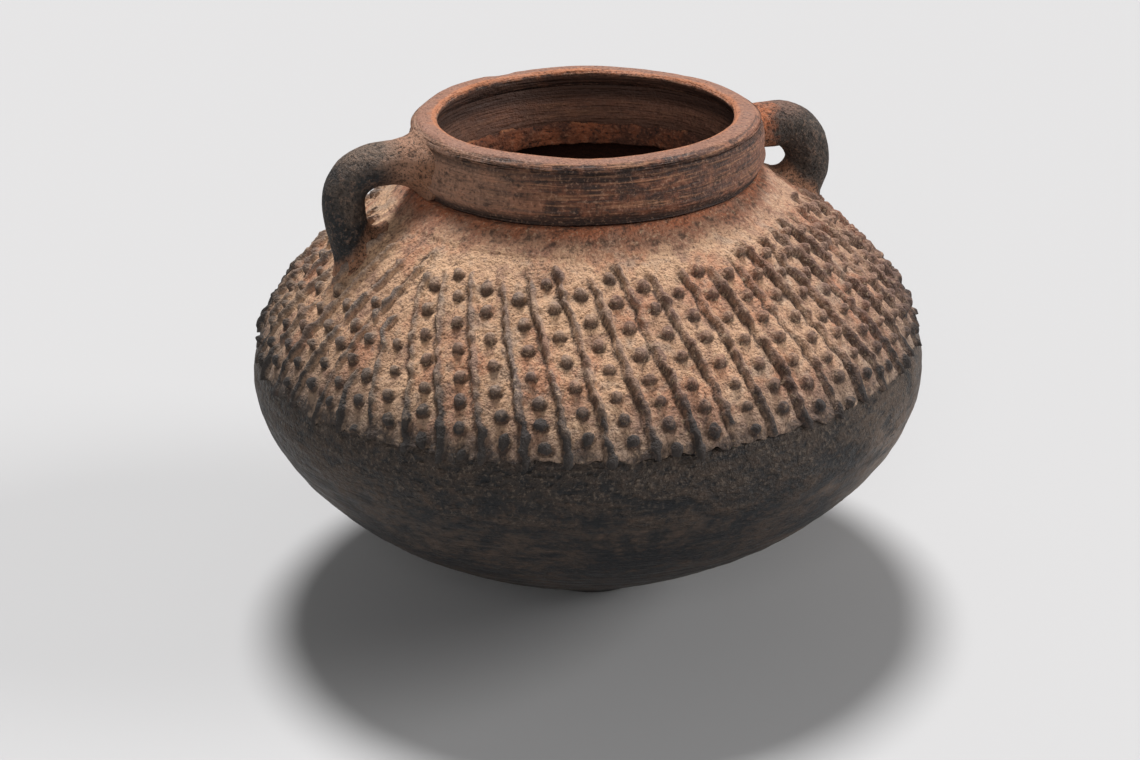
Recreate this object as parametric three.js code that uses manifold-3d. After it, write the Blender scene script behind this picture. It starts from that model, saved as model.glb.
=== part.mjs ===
// A round-bellied pot of low-fired clay, hand built from pieces that were luted together and then
// fired as one: a rounded bowl, a sloping shoulder under a rough coat of ribs and nubs, a neck
// collar, a thick lip and two loop handles. Millimetres, +Z up. The origin is the middle of the
// small worn flat that the pot stands on, and the two handles lie on the X axis.
import * as THREE from "three";
import { mergeVertices } from "three/addons/utils/BufferGeometryUtils.js";
import Module from "manifold-3d";

const wasm = await Module();
wasm.setup();

// Body
const bellyRadius = 108;
const bellyHeight = 79.4;
const baseFlatRadius = 20;
const bowlRise = 45; // how far the straight slope above the flat reaches
const bowlSlope = THREE.MathUtils.degToRad(30.5);
const bowlSwell = 36.5; // how far the wall keeps upright below the belly
const shoulderHeight = 60.5; // from the belly up to the neck's foot
const shoulderSwell = 17; // how far the wall keeps upright above the belly
const shoulderReach = 27; // how far the straight slope below the neck reaches
const shoulderSlope = THREE.MathUtils.degToRad(37);
const wall = 6.5;
const seam = 0.3; // the clearance at every luted joint
const scarfRise = 6; // how much higher the bowl's bevelled edge is inside than outside
const girthLuteThickness = 3;
const girthLuteReach = 5;

// Rough coat on the shoulder, with its ribs and nubs
const borderRise = 10.4; // from the belly up to the coat's lower edge
const bandDrop = 7.3; // from the neck's foot down to the coat's upper edge
const coatSeatDepth = 1.1;
const coatStepRun = 1.6;
const coatProud = 0.8;
const ribCount = 54;
const ribHalfWidth = 1.6;
const ribHeight = 1.3;
const nubRows = 8;
const nubRadius = 2.1;
const nubHeight = 1.9;
const nubSides = 4;
const nubBurial = 0.6;

// The ribs stand evenly round the coat's lower edge and lean aside as they rise. They were laid
// from both sides of a line where the work met, and those that reach this line end there.
const meetingTurn = 204; // degrees from the X axis to the foot of the meeting line
const meetingLean = 5.9; // degrees that this line leans on its way up
const ribLeans = [
  { past: 0, lean: -16 }, // past: a rib's degrees past the meeting line at its foot
  { past: 20, lean: -15 }, // lean: how many degrees its top lies aside of its foot
  { past: 40, lean: -12 },
  { past: 66, lean: -8.5 },
  { past: 90, lean: -5.5 },
  { past: 224, lean: -4 },
  { past: 286, lean: 4 },
  { past: 340, lean: 7 },
  { past: 360, lean: 7 },
];
const leanPower = 1.6; // the ribs start upright and lean more the higher they get
const crowding = 0.06; // how close the ends that reach the meeting line lie along it
const nubStep = 0.618; // how much higher each column of nubs starts than the last, in rows
const nubLowest = 0.03; // places on the coat's slope, as shares of it
const nubHighest = 0.93;

// Neck and lip
const neckBaseRadius = 54.5;
const neckHeight = 20.7; // from the neck's foot up to the rim
const neckWall = 8;
const neckBulge = 1.2;
const bulgeStart = 0.15; // the share of the bulge's arc that lies below the neck's foot
const lipHeight = 6.6;
const lipTopWidth = 3.4;
const lipRound = 1.9;
const lipTaper = 0.8;
const mouthOverhang = 0.6; // how far the lip stands in over the neck's bore
const shoulderEdge = 4.4; // height of the shoulder's own edge inside the neck joint
const neckLuteThickness = 1.8;
const neckLuteHeight = 6;

// Handles: coils of clay, one a little higher and the other a little thicker. Reach is how far
// the middle of the coil goes out from the neck, rise how high it leaves it above the neck's
// foot, and sag how far it has come down where it is furthest out.
const leftHandle = {
  name: "handle_left",
  side: -1,
  coilRadius: 6.5,
  reach: 23.1,
  rise: 11,
  sag: 11,
  footInset: 1.8,
};
const rightHandle = {
  name: "handle_right",
  side: 1,
  coilRadius: 7,
  reach: 23.3,
  rise: 7.2,
  sag: 14,
  footInset: 2.4,
};
const rootFlare = 2.5;
const rootLength = 8;
const footFlare = 3;
const footLength = 7;
const footShift = 2; // how far the clay round the foot lies in towards the neck
const flareEdge = 0.8; // the thin edge of the clay smeared over the coil

// Facets
const segments = 48;
const bowlRings = 8;
const bevelRings = 2; // between the belly and the coat's lower edge
const bandRings = 2; // between the coat's upper edge and the neck
const coatRings = 5;
const columnsPerRib = 3; // a rib's crest and its two feet
const coilSides = 10;
const coilSteps = 18;
const flareSides = 14;

const neckBaseHeight = bellyHeight + shoulderHeight;
const rimHeight = neckBaseHeight + neckHeight;
const borderHeight = bellyHeight + borderRise;
const reliefTopHeight = neckBaseHeight - bandDrop;
const neckBoreRadius = neckBaseRadius - neckWall;
const mouthRadius = neckBoreRadius - mouthOverhang;

const flat = (radius, height) => new THREE.Vector2(radius, height);

// The outer outline from the flat up to the belly, and on from the belly to the neck
const bowlCurve = new THREE.CubicBezierCurve(
  flat(baseFlatRadius, 0),
  flat(baseFlatRadius + bowlRise * Math.cos(bowlSlope), bowlRise * Math.sin(bowlSlope)),
  flat(bellyRadius, bellyHeight - bowlSwell),
  flat(bellyRadius, bellyHeight),
);
const shoulderCurve = new THREE.CubicBezierCurve(
  flat(bellyRadius, bellyHeight),
  flat(bellyRadius, bellyHeight + shoulderSwell),
  flat(
    neckBaseRadius + shoulderReach * Math.cos(shoulderSlope),
    neckBaseHeight - shoulderReach * Math.sin(shoulderSlope),
  ),
  flat(neckBaseRadius, neckBaseHeight),
);

// A point of an upward curve, moved off the surface by the given distance, outward when positive
function besideCurve(curve, t, out) {
  const along = curve.getTangent(t);
  return curve.getPoint(t).add(flat(along.y, -along.x).multiplyScalar(out));
}

function stretch(curve, from, to, steps, out) {
  const points = [];
  for (let i = 0; i <= steps; i++) {
    const t = from + ((to - from) * i) / steps;
    points.push(besideCurve(curve, t, typeof out === "function" ? out(t) : out));
  }
  return points;
}

// Where an upward curve first gets as far as a test asks, found by halving
function atFirst(curve, isReached) {
  let low = 0;
  let high = 1;
  for (let i = 0; i < 40; i++) {
    const middle = (low + high) / 2;
    if (isReached(curve.getPoint(middle))) high = middle;
    else low = middle;
  }
  return high;
}
const atHeight = (curve, height) => atFirst(curve, (point) => point.y >= height);

// A body of revolution about Z from an outline that runs up outside and down inside
function turned(outline) {
  return new THREE.LatheGeometry(outline, segments).rotateX(Math.PI / 2);
}

function closed(outline) {
  return [...outline, outline[0].clone()];
}

function solid(geometry) {
  const bare = geometry.index ? geometry.toNonIndexed() : geometry.clone();
  bare.deleteAttribute("normal");
  bare.deleteAttribute("uv");
  const merged = mergeVertices(bare, 1e-3);
  return new wasm.Manifold(
    new wasm.Mesh({
      numProp: 3,
      vertProperties: merged.attributes.position.array,
      triVerts: new Uint32Array(merged.index.array),
    }),
  );
}

function geometryOf(made) {
  const mesh = made.getMesh();
  return new THREE.BufferGeometry()
    .setAttribute("position", new THREE.BufferAttribute(mesh.vertProperties, 3))
    .setIndex(new THREE.BufferAttribute(mesh.triVerts, 1))
    .toNonIndexed();
}

const pot = new THREE.Group();

function piece(name, geometry, color, roughness) {
  const material = new THREE.MeshStandardMaterial({ color, roughness, metalness: 0 });
  geometry.computeVertexNormals();
  const mesh = new THREE.Mesh(geometry, material);
  mesh.name = name;
  pot.add(mesh);
}

const sooty = 0x2b2624;
const tan = 0x8f7256;
const redBrown = 0x6b3a2a;
const pinkBrown = 0x7d4d3b;

// Base bowl: its upper edge is bevelled, and the shoulder laps over the bevel from outside
const borderAt = atHeight(shoulderCurve, borderHeight);
const scarfAt = atHeight(shoulderCurve, borderHeight + scarfRise);
const scarfOuter = besideCurve(shoulderCurve, borderAt, 0);
const scarfInner = besideCurve(shoulderCurve, scarfAt, -wall);
piece(
  "base_bowl",
  turned([
    flat(0, 0),
    ...stretch(bowlCurve, 0, 1, bowlRings, 0),
    ...stretch(shoulderCurve, 0, borderAt, bevelRings, 0).slice(1),
    ...stretch(shoulderCurve, scarfAt, 0, bevelRings, -wall),
    ...stretch(bowlCurve, 1, 0, bowlRings - 1, -wall).slice(1),
    flat(0, wall),
  ]),
  sooty,
  0.55,
);

// Shoulder: it carries the coat in a shallow seat and ends in a level edge under the neck
const scarfRun = scarfInner.clone().sub(scarfOuter);
const scarfLift = (seam * scarfRun.length()) / -scarfRun.x;
const shoulderFoot = atHeight(shoulderCurve, borderHeight + scarfLift);
const shoulderToe = atHeight(shoulderCurve, borderHeight + scarfRise + scarfLift);
// A point a seam above the bowl's bevel, at a distance outward of the shoulder's outline
const onBevel = (out) =>
  scarfOuter
    .clone()
    .addScaledVector(scarfRun, -out / wall)
    .add(flat(0, scarfLift));
const reliefTopAt = atHeight(shoulderCurve, reliefTopHeight);
const slopeLength = shoulderCurve.getLength();
const bandAt = reliefTopAt + coatStepRun / slopeLength;
piece(
  "shoulder",
  turned(
    closed([
      onBevel(-coatSeatDepth),
      ...stretch(shoulderCurve, shoulderFoot, reliefTopAt, coatRings, -coatSeatDepth).slice(1),
      ...stretch(shoulderCurve, bandAt, 1, bandRings, 0),
      flat(neckBoreRadius, neckBaseHeight),
      flat(neckBoreRadius, neckBaseHeight - shoulderEdge),
      ...stretch(shoulderCurve, 1, shoulderToe, coatRings, -wall).slice(0, -1),
      onBevel(-wall),
    ]),
  ),
  tan,
  0.9,
);

// Girth lute: a thin coil pressed over the joint from inside
const luteLow = atHeight(shoulderCurve, borderHeight + scarfRise - girthLuteReach);
const luteHigh = atHeight(shoulderCurve, borderHeight + scarfRise + girthLuteReach);
piece(
  "girth_lute",
  turned(
    closed([
      ...stretch(shoulderCurve, luteLow, luteHigh, 2, -wall - seam),
      besideCurve(shoulderCurve, scarfAt, -wall - seam - girthLuteThickness),
    ]),
  ),
  sooty,
  0.9,
);

// Neck collar: it stands on the shoulder's edge and swells a little
const lipFoot = rimHeight - lipHeight;
const neckMiddle = (neckBaseHeight + lipFoot) / 2;
const neckRadiusAt = (height) => {
  const share = (height - neckBaseHeight) / (rimHeight - neckBaseHeight);
  return neckBaseRadius + neckBulge * Math.sin(Math.PI * Math.min(1, bulgeStart + share));
};
const neckOutside = [neckBaseHeight + seam, neckMiddle, lipFoot].map((height) =>
  flat(neckRadiusAt(height), height),
);
piece(
  "neck_collar",
  turned(
    closed([
      ...neckOutside,
      flat(neckBoreRadius, lipFoot),
      flat(neckBoreRadius, neckBaseHeight + seam),
    ]),
  ),
  redBrown,
  0.8,
);

// Rim lip: a thicker coil rounded over the top of the collar
const lipOutside = [
  flat(neckRadiusAt(lipFoot), lipFoot + seam),
  flat(neckRadiusAt(lipFoot) - lipTaper, rimHeight - lipRound),
  flat(mouthRadius + lipRound + lipTopWidth, rimHeight),
];
piece(
  "rim_lip",
  turned(
    closed([
      ...lipOutside,
      flat(mouthRadius + lipRound, rimHeight),
      flat(mouthRadius, rimHeight - lipRound),
      flat(neckBoreRadius, lipFoot + seam),
    ]),
  ),
  pinkBrown,
  0.75,
);

// Neck lute: a thin coil smeared over the joint inside the neck
const luteRadius = neckBoreRadius - seam;
piece(
  "neck_lute",
  turned(
    closed([
      flat(luteRadius, neckBaseHeight - neckLuteHeight / 2),
      flat(luteRadius, neckBaseHeight + neckLuteHeight / 2),
      flat(luteRadius - neckLuteThickness, neckBaseHeight),
    ]),
  ),
  redBrown,
  0.9,
);

// Rough coat: a skin of coarse clay over the shoulder, thickest at its lower edge. It is turned
// as a ring with three columns of points to each rib: its two feet and its crest between them.
// The columns are then drawn aside, so that the ribs run down the shoulder at a slant.
const coatOut = (t) => (coatProud * (reliefTopAt - t)) / (reliefTopAt - shoulderFoot);
const coatOutline = closed([
  ...stretch(shoulderCurve, shoulderFoot, reliefTopAt, coatRings, coatOut),
  ...stretch(shoulderCurve, reliefTopAt, shoulderFoot, coatRings, seam - coatSeatDepth).slice(0, -1),
  onBevel(seam - coatSeatDepth),
]);

// A place over the X axis, at a share of the coat's slope and a distance out of its surface
function overCoat(share, out) {
  const t = shoulderFoot + (reliefTopAt - shoulderFoot) * share;
  const place = besideCurve(shoulderCurve, t, coatOut(t) + out);
  return new THREE.Vector3(place.x, 0, place.y);
}

function leanAt(past) {
  const next = ribLeans.findIndex((entry) => entry.past > past);
  const above = ribLeans[next];
  const below = ribLeans[next - 1];
  return THREE.MathUtils.mapLinear(past, below.past, above.past, below.lean, above.lean);
}

// The turn, in degrees, of a line up the coat at a share of the slope. It starts at the given
// turn, and it stays on its own side of the meeting line.
function lineAt(start, share) {
  const past = THREE.MathUtils.euclideanModulo(start - meetingTurn, 360);
  const turn = past + leanAt(past) * share ** leanPower;
  const lowest = meetingLean * share + crowding * past;
  const highest = 360 + meetingLean * share - crowding * (360 - past);
  const isCut = turn < lowest || turn > highest;
  return { turn: meetingTurn + THREE.MathUtils.clamp(turn, lowest, highest), isCut };
}

const upward = new THREE.Vector3(0, 0, 1);
const ribStep = 360 / ribCount;

function ribbedCoat() {
  const columns = ribCount * columnsPerRib;
  const ring = new THREE.LatheGeometry(coatOutline, columns);
  const places = ring.getAttribute("position");
  for (let column = 0; column <= columns; column++) {
    const part = (column % columnsPerRib) - 1;
    const rib = Math.floor(column / columnsPerRib) % ribCount;
    coatOutline.forEach((point, index) => {
      const row = index % (coatOutline.length - 1);
      const isOuter = row <= coatRings;
      const share = Math.min(row, 2 * coatRings + 1 - row) / coatRings;
      const aside = THREE.MathUtils.radToDeg(ribHalfWidth / point.x);
      const line = lineAt(rib * ribStep + part * aside, share);
      const isCrest = part === 0 && share < 1 && !line.isCut;
      const bare = new THREE.Vector3(point.x, 0, point.y);
      const place = isOuter ? overCoat(share, isCrest ? ribHeight : 0) : bare;
      place.applyAxisAngle(upward, THREE.MathUtils.degToRad(line.turn));
      places.setXYZ(index + column * coatOutline.length, place.x, place.y, place.z);
    });
  }
  return ring;
}

function nubAt(share, turn) {
  const foot = overCoat(share, -nubBurial);
  const up = overCoat(share, 1).sub(overCoat(share, 0)).normalize();
  const height = nubHeight + nubBurial;
  return new THREE.ConeGeometry(nubRadius, height, nubSides)
    .translate(0, height / 2, 0)
    .applyQuaternion(new THREE.Quaternion().setFromUnitVectors(new THREE.Vector3(0, 1, 0), up))
    .translate(foot.x, foot.y, foot.z)
    .rotateZ(THREE.MathUtils.degToRad(turn));
}

// The nubs stand in columns between the ribs, wherever there is room between the two
const relief = [solid(ribbedCoat())];
for (let band = 0; band < ribCount; band++) {
  for (let row = 0; row < nubRows; row++) {
    const share = nubLowest + (row + ((band * nubStep) % 1)) / nubRows;
    if (share > nubHighest) continue;
    const before = lineAt(band * ribStep, share).turn;
    const after = lineAt((band + 1) * ribStep, share).turn;
    const apart = THREE.MathUtils.euclideanModulo(after - before, 360);
    const room = THREE.MathUtils.degToRad(apart) * overCoat(share, 0).x;
    if (room < 2 * (nubRadius + ribHalfWidth)) continue;
    relief.push(solid(nubAt(share, before + apart / 2)));
  }
}

// What every handle is cut clear of: the filled outer form of the pot, with the seam added
const potForm = solid(
  turned([
    flat(0, bellyHeight),
    ...stretch(shoulderCurve, 0, reliefTopAt, coatRings + 1, seam - coatSeatDepth),
    ...stretch(shoulderCurve, bandAt, 1, bandRings, seam),
    ...neckOutside.map((point) => flat(point.x + seam, point.y)),
    ...lipOutside.slice(0, 2).map((point) => flat(point.x + seam, point.y)),
    flat(lipOutside[2].x, rimHeight + seam),
    flat(0, rimHeight + seam),
  ]),
);

// A length of coil through the given places, and a cone round one of its ends
function coilAlong(path, radius) {
  const ring = new THREE.Shape();
  ring.absarc(0, 0, radius, 0, 2 * Math.PI);
  const section = new THREE.Shape(ring.getPoints(coilSides / 2).slice(0, coilSides));
  return solid(new THREE.ExtrudeGeometry(section, { steps: coilSteps, extrudePath: path }));
}

function flareAt(from, to, narrow, wide) {
  const along = to.clone().sub(from);
  const heading = along.clone().normalize();
  return solid(
    new THREE.CylinderGeometry(narrow, wide, along.length(), flareSides)
      .translate(0, along.length() / 2, 0)
      .applyQuaternion(
        new THREE.Quaternion().setFromUnitVectors(new THREE.Vector3(0, 1, 0), heading),
      )
      .translate(from.x, from.y, from.z),
  );
}

let coatPiece = wasm.Manifold.union(relief);
for (const handle of [leftHandle, rightHandle]) {
  const { name, side, coilRadius, reach, rise, sag, footInset } = handle;
  const top = neckBaseHeight + rise;
  const bendStart = neckBaseRadius + reach / 2;
  const outermost = neckBaseRadius + reach;
  const footRadius = outermost - footInset;
  const footPoint = shoulderCurve.getPoint(
    atFirst(shoulderCurve, (point) => point.x <= footRadius),
  );
  const at = (radius, height) => new THREE.Vector3(side * radius, 0, height);
  const onBend = (turn) =>
    at(
      bendStart + (outermost - bendStart) * Math.sin(turn),
      top - sag * (1 - Math.cos(turn)),
    );
  const start = at(neckBaseRadius - wall / 2, top);
  const foot = at(footRadius, footPoint.y);
  const end = at(footRadius - footInset / 2, footPoint.y - wall / 2);
  const path = new THREE.CatmullRomCurve3([
    start,
    onBend(0),
    onBend(Math.PI / 4),
    onBend(Math.PI / 2),
    foot,
    end,
  ]);
  const coil = coilAlong(path, coilRadius);
  const socket = coilAlong(path, coilRadius + seam);
  const root = flareAt(
    at(neckBaseRadius - wall / 2, top - rootFlare / 2),
    at(neckBaseRadius + rootLength, top),
    coilRadius + flareEdge,
    coilRadius + rootFlare,
  );
  const footBelow = end.clone().add(at(-footShift, 0));
  const footAbove = foot.clone().add(at(0, footLength));
  const flareAtFoot = (clearance) =>
    flareAt(
      footBelow,
      footAbove,
      coilRadius + flareEdge + clearance,
      coilRadius + footFlare + clearance,
    );
  coatPiece = coatPiece.subtract(flareAtFoot(seam)).subtract(socket);
  const clearOf = (made, ...others) =>
    geometryOf(others.reduce((rest, other) => rest.subtract(other), made.subtract(potForm)));
  piece(name, clearOf(coil), sooty, 0.7);
  piece(name + "_root", clearOf(root, socket), redBrown, 0.85);
  piece(name + "_foot", clearOf(flareAtFoot(0), socket), tan, 0.9);
}
piece("relief_coat", geometryOf(coatPiece), tan, 0.95);

export default pot;
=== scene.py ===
import math

import bmesh
import bpy
import numpy as np
from mathutils import Matrix, Vector
from mathutils.geometry import interpolate_bezier


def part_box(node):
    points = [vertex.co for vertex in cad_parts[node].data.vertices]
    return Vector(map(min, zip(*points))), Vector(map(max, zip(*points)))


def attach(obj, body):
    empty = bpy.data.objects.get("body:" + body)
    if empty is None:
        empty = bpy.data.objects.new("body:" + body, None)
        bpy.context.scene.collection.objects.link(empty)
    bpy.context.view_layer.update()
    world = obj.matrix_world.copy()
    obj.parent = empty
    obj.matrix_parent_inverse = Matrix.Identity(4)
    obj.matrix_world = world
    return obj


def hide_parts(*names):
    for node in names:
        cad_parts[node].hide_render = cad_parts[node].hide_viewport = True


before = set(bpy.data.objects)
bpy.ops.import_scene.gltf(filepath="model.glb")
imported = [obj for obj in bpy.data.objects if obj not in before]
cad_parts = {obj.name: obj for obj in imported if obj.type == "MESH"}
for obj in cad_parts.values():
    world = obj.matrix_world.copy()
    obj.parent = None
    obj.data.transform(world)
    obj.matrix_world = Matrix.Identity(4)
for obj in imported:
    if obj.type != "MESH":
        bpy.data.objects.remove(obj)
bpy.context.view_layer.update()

mm = 0.001


# Base bowl
# The rounded lower body, pressed or beaten out of one slab of clay and scraped thin.
# It was burnished and then smoked in the fire, so it is close to black with brown mottling.
belly_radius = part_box("base_bowl")[1].x
belly_height = 79.4 * mm
wall = 6.5 * mm
base_flat_radius = 20 * mm
bowl_rise = 45 * mm
bowl_slope = math.radians(30.5)
bowl_swell = 36.5 * mm
border_height = 89.8 * mm
scarf_rise = 6 * mm
neck_base_radius = 54.5 * mm
neck_base_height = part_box("shoulder")[1].z
shoulder_swell = 17 * mm
shoulder_reach = 27 * mm
shoulder_slope = math.radians(37)
bowl_points, shoulder_points = 90, 400
upper_stride, inner_stride, floor_stride = 5, 12, 6
wall_columns = 420
turn_sectors = 20
weld_gap = 0.002 * mm
lattice_size, lattice_seed = 64, 7
bowl_lumps = (30 * mm, 0.5 * mm, 1.3), (5 * mm, 0.12 * mm, 2.6), (2 * mm, 0.05 * mm, 9.4)
bowl_scrapes = (9 * mm, 0.16 * mm, 4.1)
scrape_stretch = np.array([1, 1, 4])
bowl_shrink = 0.6 * mm
flat_fade = 8 * mm


def spot(radius, height):
    return Vector((radius, 0, height))


bowl_curve = interpolate_bezier(
    spot(base_flat_radius, 0),
    spot(
        base_flat_radius + bowl_rise * math.cos(bowl_slope),
        bowl_rise * math.sin(bowl_slope),
    ),
    spot(belly_radius, belly_height - bowl_swell),
    spot(belly_radius, belly_height),
    bowl_points,
)
shoulder_curve = interpolate_bezier(
    spot(belly_radius, belly_height),
    spot(belly_radius, belly_height + shoulder_swell),
    spot(
        neck_base_radius + shoulder_reach * math.cos(shoulder_slope),
        neck_base_height - shoulder_reach * math.sin(shoulder_slope),
    ),
    spot(neck_base_radius, neck_base_height),
    shoulder_points,
)


def beside(curve, out):
    """The points of an upward outline, each moved off it, outward where out is positive."""
    moved = []
    for i, point in enumerate(curve):
        along = curve[min(i + 1, len(curve) - 1)] - curve[max(i - 1, 0)]
        away = Vector((along.z, 0, -along.x)).normalized()
        moved.append(point + away * (out(point.z) if callable(out) else out))
    return moved


def between(curve, low, high):
    return [point for point in curve if low <= point.z <= high]


def turned(outline, columns, is_ring=True):
    """A closed body turned about the Z axis from an outline, a sector first and then its copies."""
    shape = bmesh.new()
    places = [shape.verts.new(point) for point in outline]
    for here, there in zip(places, places[1:]):
        shape.edges.new((here, there))
    if is_ring:
        shape.edges.new((places[-1], places[0]))
    sector, copies = 2 * math.pi / turn_sectors, turn_sectors - 1
    for angle, steps, is_copy in (
        (sector, columns // turn_sectors, False),
        (sector * copies, copies, True),
    ):
        bmesh.ops.spin(
            shape,
            geom=shape.verts[:] + shape.edges[:] + shape.faces[:],
            cent=(0, 0, 0),
            axis=(0, 0, 1),
            angle=angle,
            steps=steps,
            use_merge=False,
            use_duplicate=is_copy,
        )
    bmesh.ops.remove_doubles(shape, verts=shape.verts, dist=weld_gap)
    bmesh.ops.recalc_face_normals(shape, faces=shape.faces)
    return shape


def placed(name, data):
    made = bpy.data.objects.new(name, data)
    bpy.context.scene.collection.objects.link(made)
    return made


def meshed(name, shape, material):
    mesh = bpy.data.meshes.new(name)
    shape.to_mesh(mesh)
    shape.free()
    mesh.materials.append(material)
    return placed(name, mesh)


def piece(name, shape, slot, material, *nodes):
    """Makes the modelled shape an object that stands for the named nodes of the frame."""
    made = meshed(name, shape, material)
    made.data.shade_smooth()
    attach(made, "root")
    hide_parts(*nodes)
    return made


def places_of(made):
    places = np.zeros(len(made.data.vertices) * 3)
    made.data.vertices.foreach_get("co", places)
    return places.reshape(-1, 3)


def put(made, places):
    made.data.vertices.foreach_set("co", places.ravel())
    made.data.update()


def push(made, distance):
    """Moves each vertex along its normal by its own distance."""
    away = np.zeros(len(made.data.vertices) * 3)
    made.data.vertex_normals.foreach_get("vector", away)
    put(made, places_of(made) + away.reshape(-1, 3) * distance[:, None])


def paint(made, name, values):
    layer = made.data.attributes.new(name, "FLOAT", "POINT")
    layer.data.foreach_set("value", values.astype(np.float32))


def eased(share):
    return share * share * (3 - 2 * share)


def step(low, high, value):
    """0 at low and 1 at high, with a smooth climb between them and level beyond both."""
    return eased(np.clip((value - low) / (high - low), 0, 1))


lattice = np.random.default_rng(lattice_seed).uniform(-1, 1, (lattice_size,) * 3)


def uneven(places, size, shift):
    """Smooth noise between -1 and 1 with lumps of the given size."""
    spots = places / size + shift
    cell = np.floor(spots).astype(int)
    part = eased(spots - cell)
    total = np.zeros(len(places))
    for corner in np.ndindex(2, 2, 2):
        x, y, z = ((cell + corner) % lattice_size).T
        weight = np.prod(np.where(np.array(corner) == 1, part, 1 - part), axis=1)
        total += lattice[x, y, z] * weight
    return total


def unevenness(places, *lumps):
    """Sets of lumps added up, each given by the lumps' size, their height and a shift."""
    return sum(uneven(places, size, shift) * height for size, height, shift in lumps)


def add(tree, kind, inputs=None, **settings):
    made = tree.nodes.new("ShaderNode" + kind)
    for key, value in settings.items():
        setattr(made, key, value)
    for socket, value in (inputs or {}).items():
        if isinstance(value, bpy.types.NodeSocket):
            tree.links.new(value, made.inputs[socket])
        else:
            made.inputs[socket].default_value = value
    return made


def new_clay(name):
    """A clay and what its pattern is made from: its tree, shader, place, place in X and height."""
    material = bpy.data.materials.new(name)
    material.use_nodes = True
    tree = material.node_tree
    shader = tree.nodes["Principled BSDF"]
    place = add(tree, "TexCoord").outputs["Object"]
    parts = add(tree, "SeparateXYZ", {"Vector": place}).outputs
    return material, tree, shader, place, parts["X"], parts["Z"]


def cloud(tree, place, size, detail=3.0, rough=0.6, stretch=(1, 1, 1)):
    """Noise whose lumps have the given size in metres, squeezed along each axis."""
    spread = add(tree, "Mapping", {"Vector": place, "Scale": stretch}).outputs["Vector"]
    inputs = {"Vector": spread, "Scale": 1 / size, "Detail": detail, "Roughness": rough}
    return add(tree, "TexNoise", inputs).outputs["Fac"]


def span(tree, value, low, high, start=0.0, end=1.0):
    inputs = {"Value": value, "From Min": low, "From Max": high, "To Min": start, "To Max": end}
    return add(tree, "MapRange", inputs).outputs["Result"]


def blend(tree, share, under, over):
    made = add(tree, "Mix", data_type="RGBA")
    for index, value in ((0, share), (6, under), (7, over)):
        if isinstance(value, bpy.types.NodeSocket):
            tree.links.new(value, made.inputs[index])
        else:
            made.inputs[index].default_value = (*value, 1) if index else value
    return made.outputs[2]


def cover(tree, colour, *layers):
    """Lays colours on in turn. Each goes from none at its value's low to its share at the high."""
    for value, low, high, share, over in layers:
        colour = blend(tree, span(tree, value, low, high, 0, share), colour, over)
    return colour


def combine(tree, how, first, *others):
    for other in others:
        first = add(tree, "Math", {0: first, 1: other}, operation=how).outputs[0]
    return first


def plus(tree, *values):
    return combine(tree, "ADD", *values)


def times(tree, *values):
    return combine(tree, "MULTIPLY", *values)


def drifted(tree, value, noise, amount):
    """The value raised by noise, which at 1 raises it by the whole amount."""
    return plus(tree, value, times(tree, noise, amount))


def swayed(tree, value, noise, amount):
    """The value raised and lowered by noise, each by half the amount at most."""
    return drifted(tree, value, plus(tree, noise, -0.5), amount)


def attribute(tree, name):
    return add(tree, "Attribute", attribute_name=name).outputs["Fac"]


def finish_clay(tree, shader, colour, roughness, height, depth, specular=0.5):
    """Joins colour, roughness and a bump of the given depth in metres, and sets the gloss."""
    tree.links.new(colour, shader.inputs["Base Color"])
    tree.links.new(roughness, shader.inputs["Roughness"])
    bump = add(tree, "Bump", {"Height": height, "Distance": depth, "Strength": 1.0})
    tree.links.new(bump.outputs["Normal"], shader.inputs["Normal"])
    shader.inputs["Specular IOR Level"].default_value = specular


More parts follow.
